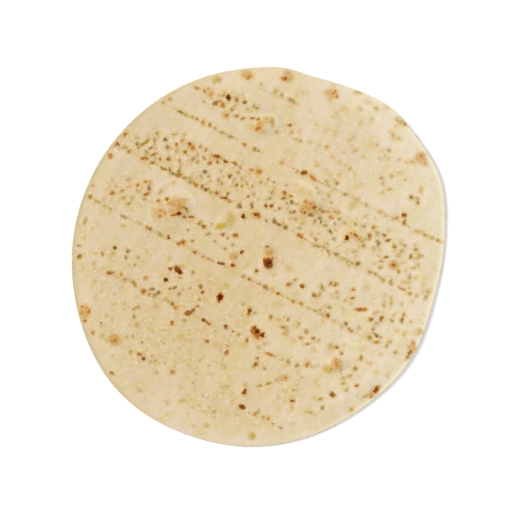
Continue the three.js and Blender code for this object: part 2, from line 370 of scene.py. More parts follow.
# %% Olive brown spots
OLIVE_BROWN = [
    (180.5, 112, 9, 3.5, -26), (196.5, 119, 5.5, 3.5, -26), (124, 217, 8, 3.5, -30),
    (112, 373, 6.5, 5, -50), (411, 197.5, 5.5, 4.5), (388, 240.5, 6.5, 4, 15), (401.5, 320, 6.5, 4.5, 80),
    (314, 295, 6.5, 4.5, -60), (271, 316.5, 4.5), (257.5, 358.5, 4.5, 4, -40), (361, 358, 6.5, 4, 85),
    (254.5, 149.5, 6, 4.5, -20), (239.5, 205.5, 7, 5.5, -50), (336.5, 183, 5, 4, 90),
    (192.5, 148, 7, 5, -60), (185, 152.5, 5), (410.5, 257, 5.5, 4, 62), (322, 407.5, 4.5),
    (193, 272.5, 4.5), (236.5, 185, 5.2, 4), (228, 193.5, 4), (90, 196.5, 6, 5),
    (266, 287.5, 8.5, 4.5, -25), (224.5, 248.5, 5, 3.5), (329.5, 307.5, 4), (158.5, 201, 6, 5, 10),
    (151, 148, 5, 4), (153.5, 154.5, 9, 3.5, 25), (160, 158.7, 4.5), (152.5, 162.5, 7, 4),
    (200.5, 146, 4.5), (206, 149.5, 4.5, 3.8, 60), (163.5, 168.8, 9, 3.6, -26),
    (217, 161.5, 4.5, 3.5, 80), (221.5, 183.5, 4.8), (248, 196.3, 5, 4, 75), (191, 177.7, 4.2),
    (257.5, 338, 5, 4), (386.5, 257, 5.5, 3.5), (223.5, 95.5, 6.5, 3.2, 5), (232.2, 109.7, 6, 4.5, 20),
    (234.3, 107, 3.8), (185.7, 209, 9.5, 3.8, -52), (310.5, 204, 5.5, 5, 80), (172.3, 304, 6.5, 5.2, -45),
    (204.4, 91, 4.8, 4.4), (216, 103, 10, 4.8, 28), (283, 327, 9, 4, -8), (296.5, 204, 4),
    (160.7, 210.7, 4.2), (322.7, 211.5, 6, 4), (350.5, 233.3, 6, 3, 25), (290.5, 196.3, 6.5, 3.8),
    (257, 108.3, 4.5), (253.3, 118.6, 6, 3.4), (258, 119.7, 5, 4), (242.6, 118.8, 5.5, 4),
    (128.8, 151.3, 5.2, 4.4, 30), (141.6, 144.6, 5.5, 3.6, 45), (148, 140.3, 5.5, 3.4, 25),
    (191, 177.8, 4.4), (252, 205.5, 7.5, 4.6, 85), (283.8, 198, 5.8, 4.4, 40), (285.6, 227.3, 6, 5, 30),
    (359.8, 239.4, 5, 4.2, -40), (394.2, 246.8, 5), (358, 263.5, 5.2), (80.7, 256, 6, 3.4, 85),
    (178.8, 243.8, 5.5, 4.4),
]
print(len(OLIVE_BROWN), "olive brown spots")

# %% Amber spots in the upper half
AMBER_ABOVE = [
    (193, 159, 6.4, 5.6), (170, 99, 5), (208, 89, 4), (333, 93.5, 8, 3.5, -15), (337, 96, 6, 3.5, 80),
    (291.5, 132.5, 4), (282, 162.5, 4.5), (297, 171.5, 4), (326.5, 147, 4.5), (123.5, 198, 5.5, 5),
    (149.5, 182, 4.5, 3.5), (160, 216, 5.5, 4.5), (165, 214, 5, 3.5, 90), (192.5, 241, 5, 4.5, 80),
    (203, 256.5, 5.5, 3.5, -15), (208.5, 259, 6, 3.5, -8), (335, 211.5, 4.5), (363.5, 246, 5.5, 4.5, 80),
    (418, 202.5, 4.5), (417, 198.5, 5, 3.5, -55), (393.5, 219, 4), (420.5, 256.5, 5.5, 4, 10),
    (421, 156, 6, 4, -50), (335, 91.5, 4.5), (306.2, 202, 6), (147.5, 228, 6.5, 4.5, -35),
    (185, 178.2, 7.5, 4.6, -22), (191.5, 181.5, 6, 4.5, -26), (374, 227, 5.5, 4.5),
    (216.5, 156.7, 15, 5.4, -18), (248.8, 76.8, 7.5, 6, 10), (397, 217.5, 5, 4.5), (110, 156, 6.5),
    (211, 94, 6.5, 4.2, 70), (236.7, 116, 5.5, 4.5), (226, 115, 6, 5), (125.6, 147.3, 6, 3.8, -20),
    (190.3, 182, 7, 4, -26), (220.3, 196.6, 5.5, 3.8, -20), (336.3, 254.2, 7, 4.8, -18),
]
print(len(AMBER_ABOVE), "amber spots above")

# %% Amber spots in the lower half
AMBER_BELOW = [
    (121.5, 275, 6, 4, -70), (145.5, 278, 5.5, 5), (148.5, 294, 6, 5, -20), (156, 305.5, 4.5),
    (180, 278, 4), (82, 307.5, 6, 5.5), (370, 272, 5.5, 4.5, -20), (375.5, 274, 5, 3.5, -20),
    (402.5, 289, 9, 3.5, -30), (410, 293.5, 5), (350.5, 330, 7.5, 4, -40), (308, 344, 7.5, 3.5, 18),
    (320, 309.5, 4.5), (331, 283.5, 4.5), (319.5, 294.5, 5.5, 4, 75), (244, 276.5, 6, 4.5, -20),
    (277, 380, 5, 3.5, 20), (285.5, 378, 5.5, 4.5), (255, 414, 5), (367.5, 395, 5.5, 3.5, 25),
    (349.5, 376, 6.5, 3.5, 15), (336, 359.5, 4.5), (92.5, 333, 5.5, 5, 90), (301, 303.5, 7, 4, -35),
    (300.5, 337.5, 5.5, 4.5), (114, 272.5, 5, 3.5), (391, 282, 6.5, 4.5, -80), (102.5, 254, 5.5, 4.5, 80),
    (337, 364.5, 7.5, 7), (268, 419, 5), (172.5, 372, 6.5, 5.5, -20), (306, 331.5, 5.5),
    (376.5, 342.2, 7, 4.4), (124.8, 280, 7, 5.2, 50),
]
print(len(AMBER_BELOW), "amber spots below")

# %% Olive spots in the upper half
OLIVE_ABOVE = [
    (197, 88, 7.5, 4, -20), (163, 102.5, 5.5, 3.5), (213.5, 104.5, 5, 3.5, 20), (186, 115, 5.5, 3.5, -26),
    (192.5, 117.5, 4.5), (222, 132.5, 8, 3.5, -20), (174, 134, 7, 3.5), (157, 133.5, 4.5),
    (146.5, 152, 5), (271.5, 121.5, 6.5, 4.5, 80), (277, 132.5, 4.5), (275.5, 91, 4.5), (281, 95, 4.5),
    (291.5, 100, 9, 4, -25), (294, 101.5, 4.5), (258.5, 151, 4), (300.5, 141, 4.5, 3.5), (350, 168, 4),
    (345.5, 194.5, 6.5, 4.5), (391.5, 176.5, 4.5), (92.5, 185.5, 4.5), (95.5, 201.5, 4.5), (98.5, 202, 4),
    (110, 209, 5, 3.5, -45), (85, 221, 10, 4.5, 62), (122.5, 190.5, 4.5), (128.5, 203.5, 5.5, 4.5),
    (138.5, 191, 5.5, 3.5, -20), (160.5, 192, 6.5, 3.5, 50), (184.5, 201, 5.5, 3.5),
    (201, 222, 5.5, 3.5, -40), (208.5, 175.5, 4.5), (242, 178, 4.5), (238, 173, 4.5), (260.5, 182, 4.5),
    (247, 183.5, 5.5, 4, 90), (242, 186, 4.5), (253, 195, 4), (272, 192, 5), (211, 192.5, 4.5),
    (295.5, 219, 5), (299.5, 228, 4.5, 3.5), (314.5, 221.5, 6.5, 4, 60), (339.5, 219, 5.5, 5, 70),
    (339, 212.5, 4.5), (326.5, 181.5, 4.5), (355.5, 224, 4.5), (377.5, 233, 7, 4.5, -25),
    (314, 245.5, 4.5), (323.5, 247, 5, 3.5, -15), (328, 251, 7, 3.5, -48), (425, 235, 5.5, 3.5, -30),
    (438, 240.5, 7.5, 3.5, -25), (138.5, 147.5, 5, 3.5, 20), (179.5, 170, 4), (144.5, 143, 14, 3.6, 33),
    (154.5, 140.5, 10.5, 3.6, -82), (416, 250, 5.5, 4.5, 45), (318, 246, 5), (171.5, 173.5, 6, 3.6, -10),
    (325, 226, 6.5, 3.5, -5), (230.5, 137, 8.5, 4, -15), (214, 81.8, 4), (218.3, 79.8, 5.5, 4),
    (362.8, 241.4, 4.4), (160.6, 234.7, 8.5, 5, -36),
]
print(len(OLIVE_ABOVE), "olive spots above")

# %% Olive spots in the lower half
OLIVE_BELOW = [
    (154.5, 296, 6.5, 5.5), (184, 320.5, 5.5, 4.5), (199, 299, 5.5, 3.5, 85), (138, 307, 5),
    (134, 309.5, 4.5), (134, 316, 6.5, 4.5, 85), (130.5, 352.5, 5.5, 4.5, 90), (155.5, 360.5, 5.5, 3.5),
    (85.5, 313.5, 6.5, 5, 80), (111, 341, 5.5, 4, 90), (381.5, 261, 4.5), (351.5, 263.5, 4),
    (379.5, 277, 7, 3.5, -40), (383.5, 280.5, 4.5), (398.5, 271.5, 5.5, 4.5, -50),
    (426, 297, 6.5, 3.5, 50), (322, 287.5, 8.5, 4, -70), (337, 298, 4), (294.5, 280, 4.5),
    (259, 284, 6, 3.5, -26), (288, 298.5, 6, 3.5, -40), (293.5, 301.5, 6.5, 4.5, -15),
    (314.5, 310.5, 5, 3.5, -20), (270.5, 319, 4.5), (278.5, 319.5, 5, 3.5), (298.5, 323.5, 4.5),
    (238.5, 334.5, 4.5), (369.5, 337.5, 6.5), (389.5, 341.5, 5, 4.5, -40), (386.5, 346, 6, 4, 85),
    (395, 352.5, 4.5), (258, 347.5, 4.5), (253.5, 367, 4), (224.5, 368, 5, 3.5), (297, 365, 6.5, 4, 75),
    (260, 386, 6.5, 3.5, 8), (268.5, 383.5, 8.5, 3.5, 18), (258.5, 411.5, 6, 3.5, 75), (263.5, 418, 4.5),
    (281, 428, 4.5), (320, 399, 5.5, 4.5, 40), (331, 369, 5), (344, 378, 5.5, 3.5, 15),
    (343.5, 383, 5.5, 4.5), (346, 389.5, 4.5), (214, 411.5, 4.5), (288.5, 362, 6.5, 4.5, 80),
    (407.5, 357.5, 5.5, 4, 60), (380.5, 267.5, 5), (355, 368.5, 5.5), (133.8, 283.2, 11, 5, -52),
    (168.3, 301.2, 5, 3.8, -40),
]
print(len(OLIVE_BELOW), "olive spots below")

# %% Smoky specks, all round
SMOKY = [
    (204, 102, 4), (215, 128, 4), (128.5, 180, 5.5, 5), (132, 198, 5), (145, 199.5, 5), (78.5, 245.5, 4),
    (188, 230, 4), (208.5, 234, 5.5, 5), (212, 224.5, 3.5), (138, 257.5, 4), (134.5, 265, 4),
    (204, 158, 5), (197.5, 155, 4), (221, 171, 4), (201, 176.5, 4), (234, 179.5, 4), (218, 180, 4),
    (252.5, 186.5, 4.5), (268, 179.5, 4), (274, 182, 4), (270, 198, 4), (287, 203.5, 4), (266, 221, 4),
    (208.5, 188.5, 4), (335, 224, 4), (334, 238.5, 4.5), (366.5, 205, 4), (381.5, 178, 4),
    (383, 183.5, 4), (402, 251, 4.5), (404.5, 245.5, 4), (410, 276.5, 4.5), (337, 292.5, 4),
    (342, 326.5, 4), (359, 327.5, 4), (373, 329, 4.5), (380, 337.5, 4.5), (404, 314.5, 4.5),
    (391.5, 320.5, 6.5, 3.5, -60), (331.5, 344, 4), (341, 353, 4.5), (340.5, 370, 4), (288, 319.5, 4.5),
    (243.5, 304, 4), (232.5, 244.5, 5.5, 5), (215, 241.5, 4), (228, 237.5, 4.5), (178.5, 294, 5.5),
    (197.5, 306, 5.5, 5), (190, 288, 3.5), (101, 323, 3.5), (142, 342.5, 4.5), (156, 372.5, 4),
    (193, 383, 4), (265, 368.5, 4.5), (294, 390, 4), (245, 384, 4), (272.5, 424, 4), (233, 331, 4),
    (227.5, 346, 4), (264.5, 344, 3.5), (389, 150.5, 4), (253.5, 106, 4), (133, 336.5, 4), (200, 360, 4),
    (255, 313, 5, 3), (179, 160, 4), (197.5, 161.5, 4.5), (137.3, 138.3, 3.8), (155.2, 159, 5, 3.6, 90),
    (179.3, 160.2, 5, 3.6), (176, 152.5, 3.8), (364.5, 226.3, 4.6), (378.3, 243.3, 8.5, 4.6, 85),
    (290.8, 212.5, 4.2), (126, 257.3, 4.6),
]
print(len(SMOKY), "smoky specks")

# %% Faint amber spots
FAINT_AMBER = [
    (380, 212, 6.5, 4.5), (358, 92.5, 6.5, 4), (425, 163.5, 4.5), (402, 122, 6, 4, -30),
    (417.5, 158, 4.5), (211, 157, 5, 4, 20), (139, 223, 6.5, 3.5, -10), (412, 162, 5, 3.5),
    (131.5, 150.5, 5, 3.5, -40), (376, 323, 6.5, 3.5, 15), (364.5, 397, 5.5, 3.5, 20),
    (355.5, 150.5, 6.5, 4), (375.5, 313, 6.5, 4, 20), (251.5, 119.5, 5, 3), (176, 149.5, 4.5),
    (393, 135.5, 6.5, 4.5, -70), (351, 409.5, 5.5, 4.5, 50), (292, 408, 7, 3.5, 85), (316.5, 165.5, 4),
    (188, 161, 3.5), (318, 340.5, 4.5), (321, 314, 8, 3.5, -15), (139.5, 390.5, 5.5, 4.5),
    (121, 148.4, 7, 3.4), (146, 155, 6.5, 4.8), (177.4, 148.6, 7, 3.6, 90), (181, 164.5, 6, 3.4, 70),
    (211.5, 192.5, 8, 4, -15), (114, 145.5, 4.5),
]
print(len(FAINT_AMBER), "faint amber spots")

# %% Faint olive spots
FAINT_OLIVE = [
    (267, 199, 4.5), (418, 231.5, 9, 4.5, -5), (274, 188, 4.5), (265.5, 119, 4.5),
    (104.5, 206, 6.5, 3.5, -5), (356.5, 199.5, 6.5, 5), (229.5, 136.5, 9, 3.5, -22),
    (367, 239.5, 6, 3.5, -5), (376, 108.5, 4.5), (377.5, 144.5, 4), (354, 251.5, 5), (428, 292, 5),
    (127, 337.5, 4.5), (308, 308, 6.5, 3.5, -26), (166, 298.5, 4.5), (343, 258.5, 7, 3.5, -30),
    (418, 265, 4.5), (347.5, 262, 6, 5), (183.5, 400.5, 5.5), (151, 361.5, 5, 3.5),
    (413.5, 268, 6.5, 3.5, -10), (417.5, 258.5, 5), (416, 296, 4.5), (115.5, 186, 4), (403, 282, 4.5),
    (415.5, 277.5, 4), (404, 334, 6, 4, 85), (328.5, 185, 4.5), (391, 298, 3.5), (398.5, 138.5, 4),
    (180, 166, 9, 3.2, 85), (384, 305, 8, 4, 85), (345, 300.5, 5.5, 4.5, 80), (123, 226, 4.5),
    (432, 238, 9, 3.5, -25), (247.5, 109.5, 4.5, 3.5, 80), (302, 223.5, 5.5, 4.5),
    (261.5, 84.5, 5, 3.5, -60), (296, 139.5, 6.5, 3.5, -10), (389, 189.5, 6.5, 3.5, 5), (374, 249, 5),
    (391, 303.5, 6.5, 4, 75), (272, 291, 5.5, 3.5, -25), (310, 412.5, 13, 3.5, -12), (344.5, 223, 4.5),
    (184.3, 134.6, 5), (93.8, 264, 6.5, 4.4, 80), (113, 253.5, 5.5),
]
print(len(FAINT_OLIVE), "faint olive spots")

# %% [markdown]
# ## Freckles
# The rest of the toast is too small to know one by one. Warm freckles crowd between the belt lines and
# thin out towards the bottom, and dull flecks lie among them and on the quiet lower left. Both are
# drawn by a seeded rule, each zone with its own number, so a new seed would make a sister of this
# tortilla. All marks end up in one array of millimetres.

# %% Where freckles crowd
# Across and down of the middle, half length, half width, turn, number, faintest and deepest toast.
FRECKLE_ZONES = [
    (190, 165, 72, 24, -26, 48, 0.28, 0.48), (228, 103, 26, 15, -10, 10, 0.28, 0.48),
    (345, 230, 82, 34, -26, 70, 0.26, 0.46), (130, 195, 34, 18, -20, 16, 0.26, 0.44),
    (240, 188, 36, 20, -20, 24, 0.26, 0.44), (414, 272, 12, 30, 0, 14, 0.26, 0.42),
    (360, 335, 60, 50, 0, 32, 0.24, 0.42), (150, 310, 62, 62, 0, 40, 0.2, 0.4),
    (250, 390, 100, 38, 0, 36, 0.2, 0.38), (350, 140, 76, 56, -26, 44, 0.16, 0.32),
    (270, 300, 70, 45, 0, 34, 0.22, 0.42), (115, 245, 38, 60, 0, 22, 0.22, 0.4),
]
DULL_ZONES = [
    (200, 362, 36, 40, 0, 44, 0.32, 0.46), (150, 345, 20, 25, 0, 14, 0.32, 0.44),
    (205, 410, 45, 18, 0, 14, 0.32, 0.44), (105, 300, 20, 40, 0, 12, 0.32, 0.44),
    (290, 375, 35, 30, 0, 14, 0.32, 0.44), (350, 140, 76, 50, -26, 26, 0.32, 0.44),
    (345, 230, 82, 34, -26, 24, 0.36, 0.5), (190, 165, 72, 24, -26, 20, 0.36, 0.5),
]
FRECKLE_SIZES = (2.2, 3.6)
FRECKLE_LEAN = 0.3
DULL_LEAN = 1.3
DEPTH_DRAW = 0.04
LEAN_DRAW = 0.25


def full_row(across, down, length, width=None, turn=0):
    """All five numbers of a mark: without a width it is round, and without a turn it lies level."""
    return across, down, length, length if width is None else width, turn


def in_millimetres(rows, toast, lean):
    """Marks listed in pixels as rows of middle, half length and half width in millimetres, turn in degrees,
    toast and lean, the last two each with a small draw of its own."""
    full = np.array([full_row(*row) for row in rows], float)
    x, y = on_tortilla(full[:, 0], full[:, 1])
    halves = full[:, 2:4] * PIXEL / 2
    depth = toast + rng.uniform(-DEPTH_DRAW, DEPTH_DRAW, len(full))
    leaning = lean + rng.uniform(-LEAN_DRAW, LEAN_DRAW, len(full))
    return np.column_stack([x, y, halves, full[:, 4], depth, leaning])


def scatter_in(zone, lean):
    """Marks drawn evenly over an ellipse: the square root of an even draw is the share of the way out."""
    across, down, half_long, half_wide, turn, number, faintest, deepest = zone
    angle = rng.uniform(0, 2 * np.pi, number)
    out = np.sqrt(rng.uniform(0, 1, number))
    along, beside = half_long * out * np.cos(angle), half_wide * out * np.sin(angle)
    tilt = np.radians(turn)
    rows = np.column_stack([
        across + along * np.cos(tilt) - beside * np.sin(tilt),
        down - along * np.sin(tilt) - beside * np.cos(tilt),
        rng.uniform(*FRECKLE_SIZES, number),
        rng.uniform(*FRECKLE_SIZES, number),
        rng.uniform(-90, 90, number),
    ])
    return in_millimetres(rows, rng.uniform(faintest, deepest, number), lean)


print(len(FRECKLE_ZONES), "zones of freckles and", len(DULL_ZONES), "of dull flecks")

# %% All the marks in one array
# The tone of a mark leans from amber to olive to smoky, and below amber it is an orange without smoke.
ORANGE_LEAN, AMBER_LEAN, OLIVE_LEAN, SMOKY_LEAN = -0.4, 0.0, 1.0, 2.0
# Each kind of mark, how deep it has toasted, and how its tone leans.
KINDS = [
    (BURNT, 0.98, AMBER_LEAN), (DARK, 0.83, 0.1), (DARK_OLIVE, 0.76, 0.7),
    (BROWN_ABOVE + BROWN_BELOW, 0.65, 0.05), (ORANGE, 0.58, ORANGE_LEAN),
    (OLIVE_BROWN, 0.625, 0.7), (SMOKY_BROWN, 0.655, 1.4),
    (AMBER_ABOVE + AMBER_BELOW, 0.53, 0.15), (OLIVE_ABOVE + OLIVE_BELOW, 0.495, 0.82), (SMOKY, 0.515, 1.8),
    (FAINT_AMBER, 0.38, 0.2), (FAINT_OLIVE, 0.36, 0.9),
]
listed_marks = [in_millimetres(*kind) for kind in KINDS]
freckles = [scatter_in(zone, FRECKLE_LEAN) for zone in FRECKLE_ZONES]
freckles += [scatter_in(zone, DULL_LEAN) for zone in DULL_ZONES]
marks = np.concatenate(listed_marks + freckles)
print(sum(map(len, listed_marks)), "listed marks and", sum(map(len, freckles)), "freckles")

# %% [markdown]
# ## How far inside a mark
# A point net is too coarse for the edge of a freckle two millimetres wide. What it can carry well is a
# distance, because that changes evenly from point to point. So every point learns how far it lies
# inside the mark that counts most there, in millimetres and below zero outside. The material later
# cuts that distance round zero, which gives an edge between the points, as sharp type is drawn.

# %% The mark that counts at any place
FAR_OUTSIDE = 3.0
EDGE_OUT, EDGE_IN = -0.65, 0.95
NEARNESS_COUNTS = 0.01


def counted(inside, toast):
    """How much a mark counts at a place: the toast that it gives there, and a little of its distance."""
    share = np.clip((inside - EDGE_OUT) / (EDGE_IN - EDGE_OUT), 0, 1)
    return toast * share + NEARNESS_COUNTS * inside


def toast_field(x, y):
    """For each place: the distance inside the mark's edge, taken as (1 - reach) times the mean half size,
    that mark's toast, and its lean. Of several marks, the one that toasts deepest there counts."""
    inside = np.full_like(x, -FAR_OUTSIDE)
    depth = np.zeros_like(x)
    lean = np.zeros_like(x)
    for mark_x, mark_y, half_long, half_wide, turn, toast, leaning in marks:
        near = np.hypot(x - mark_x, y - mark_y) < max(half_long, half_wide) + FAR_OUTSIDE
        reach = oval_reach(x[near], y[near], mark_x, mark_y, half_long, half_wide, turn)
        here = np.maximum((1 - reach) * np.sqrt(half_long * half_wide), -FAR_OUTSIDE)
        counts = counted(here, toast) > counted(inside[near], depth[near])
        inside[near] = np.where(counts, here, inside[near])
        depth[near] = np.where(counts, toast, depth[near])
        lean[near] = np.where(counts, leaning, lean[near])
    return inside, depth, lean


print("distances kept within", FAR_OUTSIDE, "mm of a mark")

# %% [markdown]
# ## The shown face as a round net
# A fan of rings would crowd its points at the middle and starve the rim. A square net pressed into a
# disc keeps them evenly apart: each square ring of the net becomes a circle, and each side of that
# square a quarter of it. Two parameters, one for each direction of the net, give the whole face.

# %% The net and its heights
NET_HALF = 143
net_edge_share = 1 - RIM_ROUNDING / RADIUS


def round_net(half):
    """Share of the radius and bearing for a square net: the ring number is the larger of |a| and |b|,
    and the place along the side of that ring, from -1 to 1, is an eighth of a turn either way."""
    a, b = np.meshgrid(np.arange(-half, half + 1), np.arange(-half, half + 1))
    ring = np.maximum(abs(a), abs(b))
    safe = np.where(ring == 0, 1, ring)
    sideways = abs(a) >= abs(b)
    eighth = np.where(sideways, b * np.sign(a), -a * np.sign(b)) / safe
    quarter = np.where(sideways, np.where(a < 0, 180, 0), np.where(b < 0, 270, 90))
    return ring / half, quarter + 45 * eighth


def thickness_at(x, y, share):
    """Thin at the rim, eased to full over the rim band, with waves, blisters, folds and creases on top."""
    inside = smoothstep((1 - share) * RADIUS, 0, RIM_BAND)
    relief = wave_height(x, y) + blister_height(x, y) + fold_height(x, y) + crease_height(x, y)
    return RIM_THICKNESS + inside * (THICKNESS - RIM_THICKNESS + relief)


def spread_out(share, bearing):
    """Millimetres right and up for a share of the radius at a bearing."""
    reach = share * edge_radius(bearing)
    x = CENTRE[0] + reach * np.cos(np.radians(bearing))
    y = CENTRE[1] + reach * np.sin(np.radians(bearing))
    return x, y


net_ring, net_bearing = round_net(NET_HALF)
net_share = net_ring * net_edge_share
net_x, net_y = spread_out(net_share, net_bearing)
net_inside, net_depth, net_lean = toast_field(net_x, net_y)
net_line_gap, net_line_toast = line_field(net_x, net_y)
TOAST_RISE = 0.16
net_z = underside_lift(net_bearing, net_share) + thickness_at(net_x, net_y, net_share)
net_z += TOAST_RISE * net_depth * smoothstep(net_inside, EDGE_OUT, EDGE_IN)
print("net of", net_x.size, "points; share inside a mark", (net_inside > 0).mean().round(3))

# %% [markdown]
# ## Rim and underside
# The rim is a half-round between the two faces, and the underside lies flat. Both are rings that
# start from the net's own border, so no seam is left open: the border goes round the rim in a few
# steps, then in along the underside, and closes in one point at the middle.

# %% Rings from the border round to the underside
RIM_STEPS = 5
UNDERSIDE_SHARES = [0.985, 0.955, 0.915, 0.87, 0.82, 0.76, 0.4]
side = 2 * NET_HALF + 1
number_of = np.arange(side * side).reshape(side, side)
border = np.concatenate([
    number_of[0, :-1], number_of[:-1, -1], number_of[-1, :0:-1], number_of[:0:-1, 0],
])
border_bearing = net_bearing.ravel()[border]
border_top = net_z.ravel()[border]
border_bottom = underside_lift(border_bearing, np.full(border.size, net_edge_share))

turns = np.radians(np.linspace(90, -90, RIM_STEPS + 1)[1:, None])
rim_share = net_edge_share + RIM_ROUNDING / RADIUS * np.cos(turns) + np.zeros(border.size)
rim_x, rim_y = spread_out(rim_share, border_bearing + np.zeros_like(rim_share))
rim_z = (border_top + border_bottom) / 2 + (border_top - border_bottom) / 2 * np.sin(turns)

under_share = np.array(UNDERSIDE_SHARES)[:, None] * net_edge_share + np.zeros(border.size)
under_bearing = border_bearing + np.zeros_like(under_share)
under_x, under_y = spread_out(under_share, under_bearing)
under_z = underside_lift(under_bearing, under_share)
print(border.size, "points round the border,", RIM_STEPS + len(UNDERSIDE_SHARES), "rings below it")

# %% All points and faces
ring_x = np.concatenate([rim_x, under_x])
ring_y = np.concatenate([rim_y, under_y])
ring_z = np.concatenate([rim_z, under_z])
points = np.concatenate([
    np.column_stack([net_x.ravel(), net_y.ravel(), net_z.ravel()]),
    np.column_stack([ring_x.ravel(), ring_y.ravel(), ring_z.ravel()]),
    [[CENTRE[0], CENTRE[1], 0.0]],
])
box_middle = (points.min(0) + points.max(0)) / 2
points[:, :2] -= box_middle[:2]


def quads_between(rows):
    """Four-sided faces between neighbouring rows of point numbers, each row closed on itself."""
    after = np.roll(rows, -1, axis=1)
    return np.stack([rows[:-1], rows[1:], after[1:], after[:-1]], axis=-1).reshape(-1, 4)


net_quads = np.stack([
    number_of[:-1, :-1], number_of[:-1, 1:], number_of[1:, 1:], number_of[1:, :-1],
], axis=-1).reshape(-1, 4)
ring_numbers = side * side + np.arange(ring_x.size).reshape(ring_x.shape)
ring_quads = quads_between(np.vstack([border, ring_numbers]))
pole = len(points) - 1
last_ring = ring_numbers[-1]
pole_faces = np.column_stack([last_ring, np.full(last_ring.size, pole), np.roll(last_ring, -1)])
print("box, mm:", (points.max(0) - points.min(0)).round(2))
print("triangles:", 2 * (len(net_quads) + len(ring_quads)) + len(pole_faces))

# %% [markdown]
# ## The piece and what its points know
# The mesh takes the arrays whole. Beside its place, every point keeps a few numbers for the material:
# how far it lies inside a mark, how deep and how olive that mark is, the same for the belt lines, how
# the dough glows round the deep marks, how pale or dusky it is, partly as painted light and shade, and
# how many fine specks it has. The underside was never seen, so it leaves its toast to the material.

# %% Make the mesh
faces = net_quads.tolist() + ring_quads.tolist() + pole_faces.tolist()
mesh = bpy.data.meshes.new("tortilla_dough")
mesh.from_pydata((points * METRES).tolist(), [], faces)
mesh.polygons.foreach_set("use_smooth", np.ones(len(mesh.polygons), bool))
mesh.update()
tortilla = bpy.data.objects.new("tortilla_dough", mesh)
bpy.context.scene.collection.objects.link(tortilla)
print(tortilla.name, "has", len(mesh.vertices), "points and", len(mesh.polygons), "faces")

# %% Pale, dull, glowing and specked places, and painted light and shade
# Painted light across the face: the dough is brighter towards the right and darker towards the left.
PAINTED_LIGHT_BEARING = np.radians(-8)
PALE_MIDDLE = 0.19
PALE_OUTWARD = 0.42
PAINTED_LIGHT_SIDEWAYS = 0.16
SIDEWAYS_STEEPNESS = 2.5
PAINTED_LIGHT_RIGHT = 0.18
# Painted highlight along the rim, strongest at the right.
RIM_HIGHLIGHT = 0.2
# Width in mm of the rim band that is painted lighter at the right and shaded at the left.
PAINTED_RIM_FROM, PAINTED_RIM_FULL = 4.5, 0.0
# Painted shade: how far the dough is darkened towards the left edge.
LEFT_SHADE = 0.35
# Paleness per mm of fold rise: partly paler stretched dough, partly a painted highlight on the ridges.
FOLD_HIGHLIGHT_AND_PALENESS = 2.0
# Across, down, half length, half width and turn of a soft pale patch in pixels, and its strength. On the
# blister folds the paleness is partly paler stretched dough and partly a painted highlight on the ridges.
PALE_AND_HIGHLIT_PATCHES = [
    (276.5, 122, 7, 3, -75, 0.2), (250, 272, 9, 4, 0, 0.5), (300, 180, 14, 4, -25, 0.06),
    (193, 169, 8, 5, 0, 0.25), (239, 148, 5, 5, 0, 0.3), (222, 142, 7, 3, -20, 0.3),
    (154, 203, 9, 4, 85, 0.3), (160, 190, 100, 65, 55, 0.19),
]
DULL_SIDE = [
    (185, 345, 85, 60, 30, 0.12), (275, 405, 110, 50, 0, 0.27), (361, 150, 65, 42, -45, 0.15),
]
AMBER_GLOW = [
    (269, 252, 6, 6, 0, 0.46), (257, 335, 8, 6, -30, 0.45), (177, 202, 11, 6, -10, 0.4),
    (172.5, 203.8, 8, 4.5, -5, 0.48), (180, 207.5, 5, 7.5, 0, 0.5), (172, 210, 6, 5, 0, 0.3),
    (162, 213, 7, 6, 60, 0.26), (288, 76, 7, 7, 60, 0.4), (331, 94, 9, 6, -10, 0.36),
    (400, 121, 8, 4, -30, 0.34), (421, 158, 8, 7, -30, 0.36), (260, 125, 4.5, 6, -20, 0.46),
    (262, 132, 6, 3, 0, 0.32), (311, 205, 5, 5, 0, 0.5), (308, 208.5, 10, 8, -20, 0.4),
    (315, 211, 6, 4, -30, 0.3), (258, 171, 5, 5, 0, 0.48), (256, 215, 7, 5, 0, 0.36),
    (353, 235, 9, 4, -25, 0.36), (394, 265, 7, 6, 0, 0.45), (284, 378, 7, 4, 10, 0.38),
    (337, 364, 7, 7, 0, 0.55), (331, 347, 5, 4, 0, 0.38), (114, 340, 7, 7, 0, 0.6),
    (85, 312, 8, 6, 80, 0.6), (137, 325, 4, 4, 0, 0.36), (286, 333, 4, 5, 0, 0.4),
    (234, 256, 5, 5, 0, 0.5), (398, 256, 4, 3, 0, 0.3), (248, 76, 6, 5, 0, 0.38),
    (210, 93, 5, 5, 0, 0.22), (192, 147, 5, 5, -50, 0.36), (412, 348, 5, 6, 60, 0.4),
    (374, 391, 8, 5, 45, 0.38), (226, 115, 5, 5, 0, 0.35), (183, 214, 8, 5, -10, 0.24),
    (176, 211, 9, 5, -10, 0.2), (183, 244, 6, 5, 0, 0.3), (161, 203, 6, 6, 0, 0.14),
    (166, 220, 8, 5, 0, 0.1), (285, 195, 8, 6, -20, 0.12), (217, 158, 9, 5, -25, 0.12),
    (312, 178, 6, 4, -35, 0.2), (158, 157, 16, 5, 0, 0.08), (188, 314, 8, 5, 20, 0.1),
    (306, 182, 10, 3, -30, 0.08), (180, 209, 10, 7, 0, 0.16), (316, 213, 8, 6, 0, 0.2),
    (161, 161, 10, 6, 0, 0.1), (174, 231, 10, 6, -20, 0.1), (238, 409, 6, 7, 0, 0.12),
    (190, 220, 9, 5, -20, 0.1), (303, 219, 8, 6, 0, 0.12), (277, 227, 10, 6, -20, 0.12),
    (294, 296, 8, 6, 0, 0.1), (315, 303, 8, 6, 0, 0.1), (364, 330, 9, 7, -30, 0.1),
    (329, 353, 7, 6, 0, 0.1), (351, 364, 8, 6, 0, 0.1), (337, 336, 8, 6, 0, 0.08),
    (270, 110, 7, 6, 0, 0.08),
]
